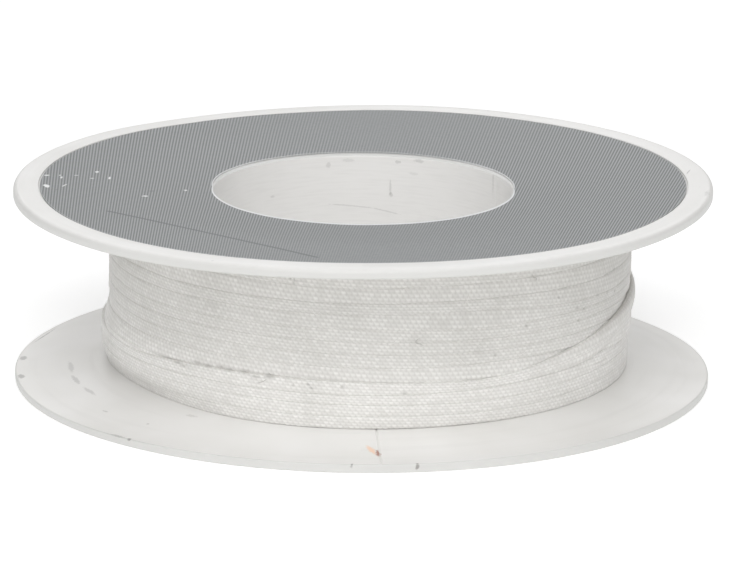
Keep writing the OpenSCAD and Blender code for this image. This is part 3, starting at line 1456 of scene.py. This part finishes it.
    def build(self, lower: Flange, upper: Flange, droop: Droop) -> bpy.types.Object:
        """Sweeps the braided section along the course, pressed flat against the flanges.

        Args:
            lower: The flange below.
            upper: The flange above.
            droop: How the upper flange hangs.

        Returns:
            The winding.
        """
        rng = np.random.default_rng(self.seed + 1)
        lay = self.lay()
        line, index = self.course(lay)
        run = np.arange(len(line)) * self.ring_step
        flat = unit(unit(np.gradient(line, axis=0)) * LEVEL)
        outward = np.stack([flat[:, 1], -flat[:, 0], np.zeros(len(line))], 1)
        # The cord's twist and its width both wander slowly along it
        angle = self.section(run / self.twist_length + wandering(rng, len(line), 900.0, 0.03))
        half_thick = (lay["thick"] / 2)[index][:, None]
        crowding = self.crowding + wandering(rng, len(line), 300.0, 0.04)
        half_tall = ((lay["high"] - lay["low"]) / 2)[index][:, None] * crowding[:, None]
        square = lay["square"][index][:, None]
        x, z = (signed_power(way(angle), 2 / square) for way in (np.cos, np.sin))
        slope_x = signed_power(x, square - 1) / half_thick
        slope_z = signed_power(z, square - 1) / half_tall
        slope = np.hypot(slope_x, slope_z)
        crown = self.braid(len(line), rng)
        strand = np.broadcast_to(np.arange(2 * self.carriers) / 2, crown.shape)
        lift = self.relief * (crown - self.mean_crown)
        side = x * half_thick + lift * slope_x / slope
        tall = z * half_tall + lift * slope_z / slope
        points = (
            line[:, None, :]
            + side[..., None] * outward[:, None, :]
            + tall[..., None] * np.array([0.0, 0.0, 1.0])
        )
        azimuth = np.degrees(np.arctan2(points[..., 0], -points[..., 1]))
        # The layer swells out to meet the band on the left, and the last stretch's lower edge
        # lies pressed in on the right, so that neither leaves a step
        up = (lay["turn"] - self.layer_turns)[index][:, None]
        height = points[..., 2]
        swell = self.swelling.at(azimuth, height) * (up < 0) - self.drawn_in.at(azimuth, height)
        lower_half = smooth((0.4 - z) / 1.4) * self.strand_share(up)
        swell = swell - self.pressed_in.at(azimuth, height) * lower_half
        points = points + swell[..., None] * outward[:, None, :]
        radius = np.hypot(points[..., 0], points[..., 1])
        ceiling = upper.height - upper.inner_face(radius) - droop.at(radius, azimuth)
        points[..., 2] = np.clip(
            points[..., 2], lower.inner_face(radius) + self.clear, ceiling - self.clear
        )
        soil = self.dirt(azimuth, points[..., 2])
        sheet = Sheet(points[:, ::-1], rows_close=False, capped=True, strips=self.strips)
        return sheet.make(
            "cord_winding",
            {
                "crown": crown[:, ::-1],
                "run": np.broadcast_to(run[:, None], crown.shape)[:, ::-1],
                "strand": strand[:, ::-1],
                "soil": soil[:, ::-1],
                # The painted shade under the upper flange, by azimuth and height
                "flange_shade": self.flange_shade_at(azimuth, points[..., 2])[:, ::-1],
            },
        )


@dataclass
class StrayFibres:
    """Hairs and broken filaments that lie loosely on the winding."""

    count: int = 90
    sides: int = 5
    rings: int = 13
    filament_r: float = 0.022
    hair_r: float = 0.05
    hair_soil: float = 0.55
    blunt: float = 0.25
    seed: int = 21

    hairs: tuple[tuple[tuple[float, float], ...], ...] = (
        ((12.1, 15.3), (11.2, 15.0), (11.3, 14.6), (12.2, 14.5), (13.0, 14.2)),
        ((37.6, 22.8), (37.9, 22.2), (38.8, 22.1), (38.6, 21.6)),
        ((-22.6, 8.2), (-21.4, 8.35), (-20.2, 8.8), (-19.4, 9.5), (-20.1, 9.7)),
    )

    def tube(self, path: np.ndarray, thick: float) -> np.ndarray:
        """Sweeps a tapering tube.

        Args:
            path: Points of its middle line.
            thick: Its radius in the middle.

        Returns:
            Its points, one row for each point of the path.
        """
        ahead = unit(np.gradient(path, axis=0))
        aside = unit(np.cross(ahead, unit(path * LEVEL)))
        above = np.cross(aside, ahead)
        taper = np.sin(np.linspace(0, math.pi, len(path))) ** 0.35
        taper[[0, -1]] = self.blunt
        angle = np.arange(self.sides) * 2 * math.pi / self.sides
        ring = np.cos(angle)[:, None] * aside[:, None] + np.sin(angle)[:, None] * above[:, None]
        return path[:, None] + thick * taper[:, None, None] * ring

    def build(self, cord: WoundCord) -> bpy.types.Object:
        """Lays the fibres on the winding.

        Args:
            cord: The winding that they lie on.

        Returns:
            The fibres, as one piece.
        """
        rng = np.random.default_rng(self.seed)
        share = np.linspace(0.0, 1.0, self.rings)
        tubes, soils = [], []
        for hair in self.hairs:
            places = np.array(hair)
            marks = np.linspace(0.0, 1.0, len(places))
            azimuth = blurred(np.interp(share, marks, places[:, 0]), 0.8)
            height = blurred(np.interp(share, marks, places[:, 1]), 0.8)
            out = cord.surface(azimuth, height) + 0.06 + 0.05 * np.sin(share * math.pi)
            tubes.append(self.tube(place(out, azimuth, height), self.hair_r))
            soils.append(self.hair_soil)
        for _ in range(self.count):
            azimuth, height = rng.uniform(-180, 180), rng.uniform(4.5, 24.0)
            length, lean = rng.uniform(0.9, 2.6), rng.normal(0.0, 0.5)
            curl = rng.normal(0.0, 0.25)
            along = (share - 0.5) * length
            azimuths = azimuth + np.degrees(along * math.cos(lean) / cord.outside_r)
            heights = height + along * math.sin(lean) + curl * np.sin(share * math.pi)
            stands = rng.uniform(0.08, 0.35) * np.sin(share * math.pi)
            out = cord.surface(azimuths, heights) + stands
            tubes.append(self.tube(place(out, azimuths, heights), self.filament_r))
            soils.append(0.0)
        last_rows = tuple(range(self.rings - 1, len(tubes) * self.rings, self.rings))
        points = np.concatenate(tubes)
        steady = np.ones(points.shape[:2])
        soil = np.repeat(soils, self.rings)[:, None] * steady
        sheet = Sheet(points[:, ::-1], rows_close=False, capped=True, breaks=last_rows)
        return sheet.make(
            "stray_fibres", {"crown": steady * 0.8, "run": steady, "strand": steady, "soil": soil}
        )


@dataclass
class WoundCore:
    """The layers of cord underneath, of which only a scalloped edge can ever be seen."""

    inner_r: float = 24.15
    outer_r: float = 34.7
    shift: float = 0.8
    pitch: float = 1.8
    scallop: float = 0.3
    clear: float = 0.12
    segments: int = 240
    bevel: float = 0.4

    def face(self, flange: Flange, radius: float) -> float:
        """Returns the height that the cord starts at, just clear of the lower flange."""
        return float(flange.inner_face(radius)) + self.clear

    def build(self, flange: Flange) -> bpy.types.Object:
        """Turns the core's scalloped profile.

        Args:
            flange: Either flange, for the face that the cord lies against.

        Returns:
            The core.
        """
        low = self.face(flange, self.outer_r - 1.0)
        high = flange.height - low
        turns = round((high - low) / self.pitch)
        marks = np.linspace(0, turns, turns * 10 + 1)
        wall = self.outer_r - self.scallop + self.scallop * np.sqrt(np.abs(np.sin(marks * math.pi)))
        wall_z = low + (high - low) * marks / turns
        inner_z = self.face(flange, self.inner_r)
        inside = [
            (self.inner_r + 2 * self.bevel, flange.height - inner_z),
            (self.inner_r, flange.height - inner_z - self.bevel),
            (self.inner_r, inner_z + self.bevel),
            (self.inner_r + 2 * self.bevel, inner_z),
        ]
        profile = np.concatenate([np.stack([wall, wall_z], 1), np.array(inside)])
        radius, height, around = revolved(profile, turned_azimuths((), self.segments))
        points = place(radius, around, height)
        points[..., 0] += self.shift
        run = np.radians(around) * radius
        strand = height / 0.7
        return Sheet(points).make(
            "cord_core", {"crown": np.full(radius.shape, 0.7), "run": run, "strand": strand}
        )


# ---------------------------------------------------------------- the reel


@dataclass
class Reel:
    """The whole object: its finishes, its pieces and where they belong."""

    body: str = "root"

    def dress(self, piece: bpy.types.Object, material: bpy.types.Material) -> None:
        """Gives a piece its finish and its body.

        Args:
            piece: The piece.
            material: Its finish.
        """
        piece.data.materials.append(material)
        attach(piece, self.body)
        log.info("%s: %d faces", piece.name, len(piece.data.polygons))

    def claim(
        self, piece: bpy.types.Object, node: str, material: bpy.types.Material
    ) -> None:
        """Dresses a piece and puts it in place of its CAD node.

        Args:
            piece: The piece.
            node: The CAD node that it replaces.
            material: Its finish.
        """
        self.dress(piece, material)
        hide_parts(node)
        log.info("%s stands for %s", piece.name, node)

    def plastic_marks(self, side: Side) -> list[Spot]:
        """Lists the marks on a flange.

        Args:
            side: Which flange.

        Returns:
            The marks.
        """
        if side is Side.UPPER:
            return [
                Spot(48.7, -7.3, 28.6, 2.2, 0.5, 80, "#a9a9a6", 0.35),
                Spot(46.9, 5.6, 28.8, 1.8, 0.15, 75, "#8d8d8a", 0.5),
                Spot(-20.0, -45.0, 27.6, 0.35, 0.2, 20, "#8d8d8a", 0.5),
                Spot(-5.2, 20.8, 25.95, 0.45, 0.5, 0, "#9a9996", 0.25, tall=0.6),
                Spot(-2.3, 21.3, 26.6, 1.3, 0.5, 0, "#9a9996", 0.2, tall=0.3),
                Spot(5.1, 20.8, 26.5, 0.6, 0.5, 0, "#93928f", 0.3, tall=0.3),
                Spot(8.2, 19.8, 26.9, 1.0, 0.8, 22, "#93928f", 0.3, tall=0.35),
                Spot(4.0, 21.0, 22.4, 0.2, 0.5, 0, "#8f8e8b", 0.25, tall=1.6),
                Spot(4.1, 21.0, 21.5, 0.32, 0.5, 0, "#85847f", 0.28, tall=0.45),
                Spot(-13.3, 16.8, 22.0, 0.3, 0.6, -40, "#8f8e8b", 0.22, tall=0.25),
                Spot(7.4, 20.1, 24.9, 1.9, 0.6, 20, "#a5a4a1", 0.18, tall=0.25),
                Spot(-2.2, 21.3, 19.7, 5.0, 0.9, 0, "#9b9a97", 0.25, tall=0.14, tilt=6.0),
                Spot(3.6, 21.1, 18.9, 3.2, 0.9, 0, "#9b9a97", 0.25, tall=0.14, tilt=11.0),
                Spot(18.9, 10.1, 26.2, 0.5, 0.25, 62, "#a3a29f", 0.25, tall=2.6),
            ]
        return [
            Spot(1.55, -45.0, 1.9, 2.2, 0.55, 112, "#edc9ae", 0.85),
            Spot(2.35, -46.0, 1.85, 1.5, 0.5, 96, "#9c5a3f", 0.85),
            Spot(-49.1, 2.0, 1.2, 1.3, 0.6, 88, "#8b8a87", 0.55),
            Spot(-48.7, -7.6, 1.2, 1.3, 0.6, -81, "#84837f", 0.6),
            Spot(-46.9, 14.5, 1.4, 5.5, 0.16, 72, "#7d7c7a", 0.6),
            Spot(-31.6, -38.6, 1.1, 0.4, 0.4, -39, "#7b7a77", 0.7, tall=0.25),
            Spot(-33.3, -37.2, 1.15, 1.7, 0.5, -41, "#a2a19e", 0.5, tall=0.15),
            Spot(-29.3, -33.1, 1.8, 0.25, 0.25, 0, "#9a9995", 0.5),
            Spot(-35.6, -26.7, 1.8, 0.8, 0.25, -50, "#a8a7a4", 0.45),
            Spot(-23.4, -31.4, 2.3, 1.2, 0.5, -36, "#b5b3ae", 0.35),
            Spot(-1.2, -49.8, 0.9, 0.3, 0.25, 0, "#6b6a67", 0.7),
            Spot(7.6, -49.3, 0.9, 0.4, 0.28, 0, "#77736d", 0.7),
            Spot(-41.7, -5.6, 2.0, 3.2, 0.5, -82, "#b4b3b1", 0.45),
            Spot(-40.6, -12.0, 2.0, 2.8, 0.45, -73, "#adacaa", 0.5),
            Spot(-38.3, -17.8, 1.9, 2.6, 0.4, -65, "#b0afad", 0.45),
        ]

    def label_nicks(self, label: RingLabel, flange: Flange, droop: Droop) -> list[Spot]:
        """Lists the places where the label's ink was rubbed off.

        Args:
            label: The label.
            flange: The flange that it is stuck to.
            droop: How that flange hangs.

        Returns:
            The nicks, at the height of the label's surface.
        """
        white, dark = "#e9eaea", "#5f6264"
        nicks = (
            (-45.5, 2.8, 0.54, 0.46, 0, white, 0.9), (-43.6, 2.9, 0.23, 0.36, 0, white, 0.6),
            (-43.3, 1.6, 0.25, 0.86, 0, white, 0.75), (-45.1, -3.4, 0.5, 1.3, 15, white, 1.0),
            (-42.6, -3.2, 0.22, 1.07, -20, white, 0.7), (-41.3, 2.9, 0.38, 0.36, 0, white, 0.5),
            (-38.4, 5.1, 0.38, 0.68, 0, white, 0.8), (-38.9, 1.1, 0.38, 0.46, 0, white, 0.5),
            (-36.4, 1.4, 0.23, 0.93, 0, white, 0.9), (-30.8, -8.7, 0.6, 0.5, 40, white, 0.75),
            (-30.0, -5.3, 0.47, 0.5, 0, dark, 0.8), (-25.3, -3.5, 0.35, 0.5, 0, white, 0.75),
            (-43.5, -5.6, 0.19, 0.7, 0, dark, 0.5),
        )
        spots = []
        for x, y, length, width, heading, colour, strength in nicks:
            radius = math.hypot(x, y)
            z = label.seat(flange, radius) + label.thickness
            z -= float(droop.at(radius, math.degrees(math.atan2(x, -y))))
            spots.append(Spot(x, y, z, length, width, heading, colour, strength))
        return spots

    def winding_blots(self) -> tuple[Blot, ...]:
        """Lists the touches of dirt on the cord.

        Returns:
            Small round flecks, then the long ones along the band's upper edge.
        """
        flecks = (
            (-15.3, 23.3), (-13.8, 23.1), (36.5, 15.45), (28.8, 12.0), (59.0, 17.2), (63.4, 16.8),
            (67.4, 16.4), (63.7, 19.2), (67.1, 19.7), (45.2, 18.5), (51.2, 16.3), (53.8, 15.9),
            (52.0, 14.4), (-14.3, 8.5), (-11.0, 8.7), (-10.3, 8.2), (-3.9, 8.6), (8.9, 7.7),
        )
        smudges = (
            (-42.5, 9.0), (-40.8, 8.8), (-37.6, 9.5), (-34.5, 9.5), (-31.4, 9.6), (-28.9, 9.5),
            (-25.5, 9.5), (-22.4, 9.1), (-19.5, 9.3),
        )
        sizes = (0.24, 0.2, 0.22, 0.18, 0.28, 0.22)
        blots = [
            Blot(azimuth, height, sizes[n % 6], sizes[(n + 2) % 6] * 0.7, 0.5)
            for n, (azimuth, height) in enumerate(flecks)
        ]
        return tuple(blots + [Blot(*smudge, 0.7, 0.16, 0.4) for smudge in smudges])

    def build(self) -> None:
        """Makes every piece in order."""
        droop = Droop()
        satin = MouldedPolystyrene("moulded_polystyrene", 0.42, 1.59)
        crack = Furrow(3.2, 0.16, 0.22, 37.0, 49.5, 1.4, 2.7)
        seam = Furrow(115.2, 0.16, 0.08, 20.0, 21.5, 2.2, 14.2)
        thinned = (
            (0.0, 720.0, 0.17), (125.0, 28.0, 0.27), (-112.0, 25.0, 0.12), (-62.0, 28.0, 0.16),
        )
        lower = Flange(Side.LOWER, outer_round=0.3, furrows=(crack, seam), thinned=thinned)
        upper = Flange(Side.UPPER, rim_t=1.35, furrows=(seam,))
        for flange, hang in ((lower, None), (upper, droop)):
            skin = satin.build(self.plastic_marks(flange.side))
            node = f"{flange.side.value}_flange"
            self.claim(flange.build(hang), node, skin)
        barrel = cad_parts["barrel"]
        barrel.data.materials.clear()
        barrel.data.materials.append(satin.build([]))
        log.info("barrel keeps its CAD shape and wears %s", satin.name)
        label = RingLabel()
        rule = (Vector((-35.8, -18.0, 0)), Vector((-5.75, -43.4, 0)))
        paper = PrintedPaper("printed_coated_paper", 0.5, 1.5)
        printed = paper.build(*rule, self.label_nicks(label, upper, droop))
        ring = label.build(upper, droop, np.random.default_rng(3))
        self.claim(ring, "ring_label", printed)
        braid = BraidedPolyester("braided_polyester", 0.55, 1.55).build()
        self.claim(WoundCore().build(lower), "inner_layers", braid)
        cord = WoundCord(blots=self.winding_blots())
        self.claim(cord.build(lower, upper, droop), "outer_turns", braid)
        self.dress(StrayFibres().build(cord), braid)


# ---------------------------------------------------------------- studio


@dataclass
class Studio:
    """Camera, floor and soft light."""

    distance: float = 650.0
    elevation: float = 14.68
    roll: float = 0.5
    target: tuple[float, float, float] = (0.39, 0.0, 12.42)
    lens: float = 222.5
    sensor: float = 36.0
    floor_half: float = 2600.0
    floor_rows: int = 41
    sweep_from: float = 1500.0
    sweep_length: float = 2600.0
    sky: float = 0.15
    lamp_size: float = 1.1
    lamps: tuple[tuple[str, tuple[float, float, float], float], ...] = (
        ("soft_key", (0.0, -0.85, 1.1), 9.35),
        ("soft_front", (0.0, -1.3, 0.5), 4.1),
        ("soft_left", (-1.1, -0.3, 0.8), 2.95),
        ("soft_right", (1.1, -0.3, 0.8), 2.45),
        ("soft_back", (0.0, 1.1, 0.9), 6.85),
    )

    def camera(self) -> None:
        """Makes the camera and hands it to the scene."""
        data = bpy.data.cameras.new("camera")
        data.lens, data.sensor_width, data.sensor_fit = self.lens, self.sensor, "HORIZONTAL"
        data.clip_start, data.clip_end = 0.01, 20.0
        tilt, roll = math.radians(self.elevation), math.radians(self.roll)
        forward = Vector((0.0, math.cos(tilt), -math.sin(tilt)))
        right = Vector((1.0, 0.0, 0.0))
        above = Vector((0.0, math.sin(tilt), math.cos(tilt)))
        across = right * math.cos(roll) + above * math.sin(roll)
        upright = above * math.cos(roll) - right * math.sin(roll)
        turn = Matrix((across, upright, -forward)).transposed()
        spot = (Vector(self.target) - forward * self.distance) * MM
        camera = bpy.data.objects.new("camera", data)
        camera.matrix_world = Matrix.Translation(spot) @ turn.to_4x4()
        bpy.context.scene.collection.objects.link(camera)
        bpy.context.scene.camera = camera

    def floor(self) -> None:
        """Lays the pale paper that the reel stands on, swept up far from it."""
        across = np.linspace(-self.floor_half, self.floor_half, self.floor_rows)
        x, y = np.meshgrid(across, across, indexing="ij")
        away = np.maximum(np.hypot(x, y) - self.sweep_from, 0.0)
        points = np.stack([x, y, away**2 / self.sweep_length], -1)
        paper = Sheet(points, rows_close=False, columns_close=False).make("floor", {})
        paper.data.materials.append(StudioPaper("studio_paper", 0.9, 1.45).build())

    def lights(self) -> None:
        """Sets a faint even sky and large soft lamps all round, brightest above the camera."""
        world = bpy.data.worlds.new("studio")
        world.use_nodes = True
        background = world.node_tree.nodes["Background"]
        background.inputs["Color"].default_value = linear("#fbfbfd")
        background.inputs["Strength"].default_value = self.sky
        bpy.context.scene.world = world
        for name, spot, watts in self.lamps:
            lamp = bpy.data.lights.new(name, "AREA")
            lamp.shape, lamp.size, lamp.energy = "DISK", self.lamp_size, watts
            light = bpy.data.objects.new(name, lamp)
            light.location = spot
            light.rotation_euler = (-Vector(spot)).to_track_quat("-Z", "Y").to_euler()
            bpy.context.scene.collection.objects.link(light)

    def build(self) -> None:
        """Sets up everything round the reel."""
        self.camera()
        self.floor()
        self.lights()
        bpy.context.scene.view_settings.view_transform = "Standard"
        log.info("studio is ready")


def main() -> None:
    """Builds the studio and the reel."""
    logging.basicConfig(level=logging.INFO, format="%(name)s: %(message)s")
    Studio().build()
    Reel().build()


if __name__ == "__main__":
    main()
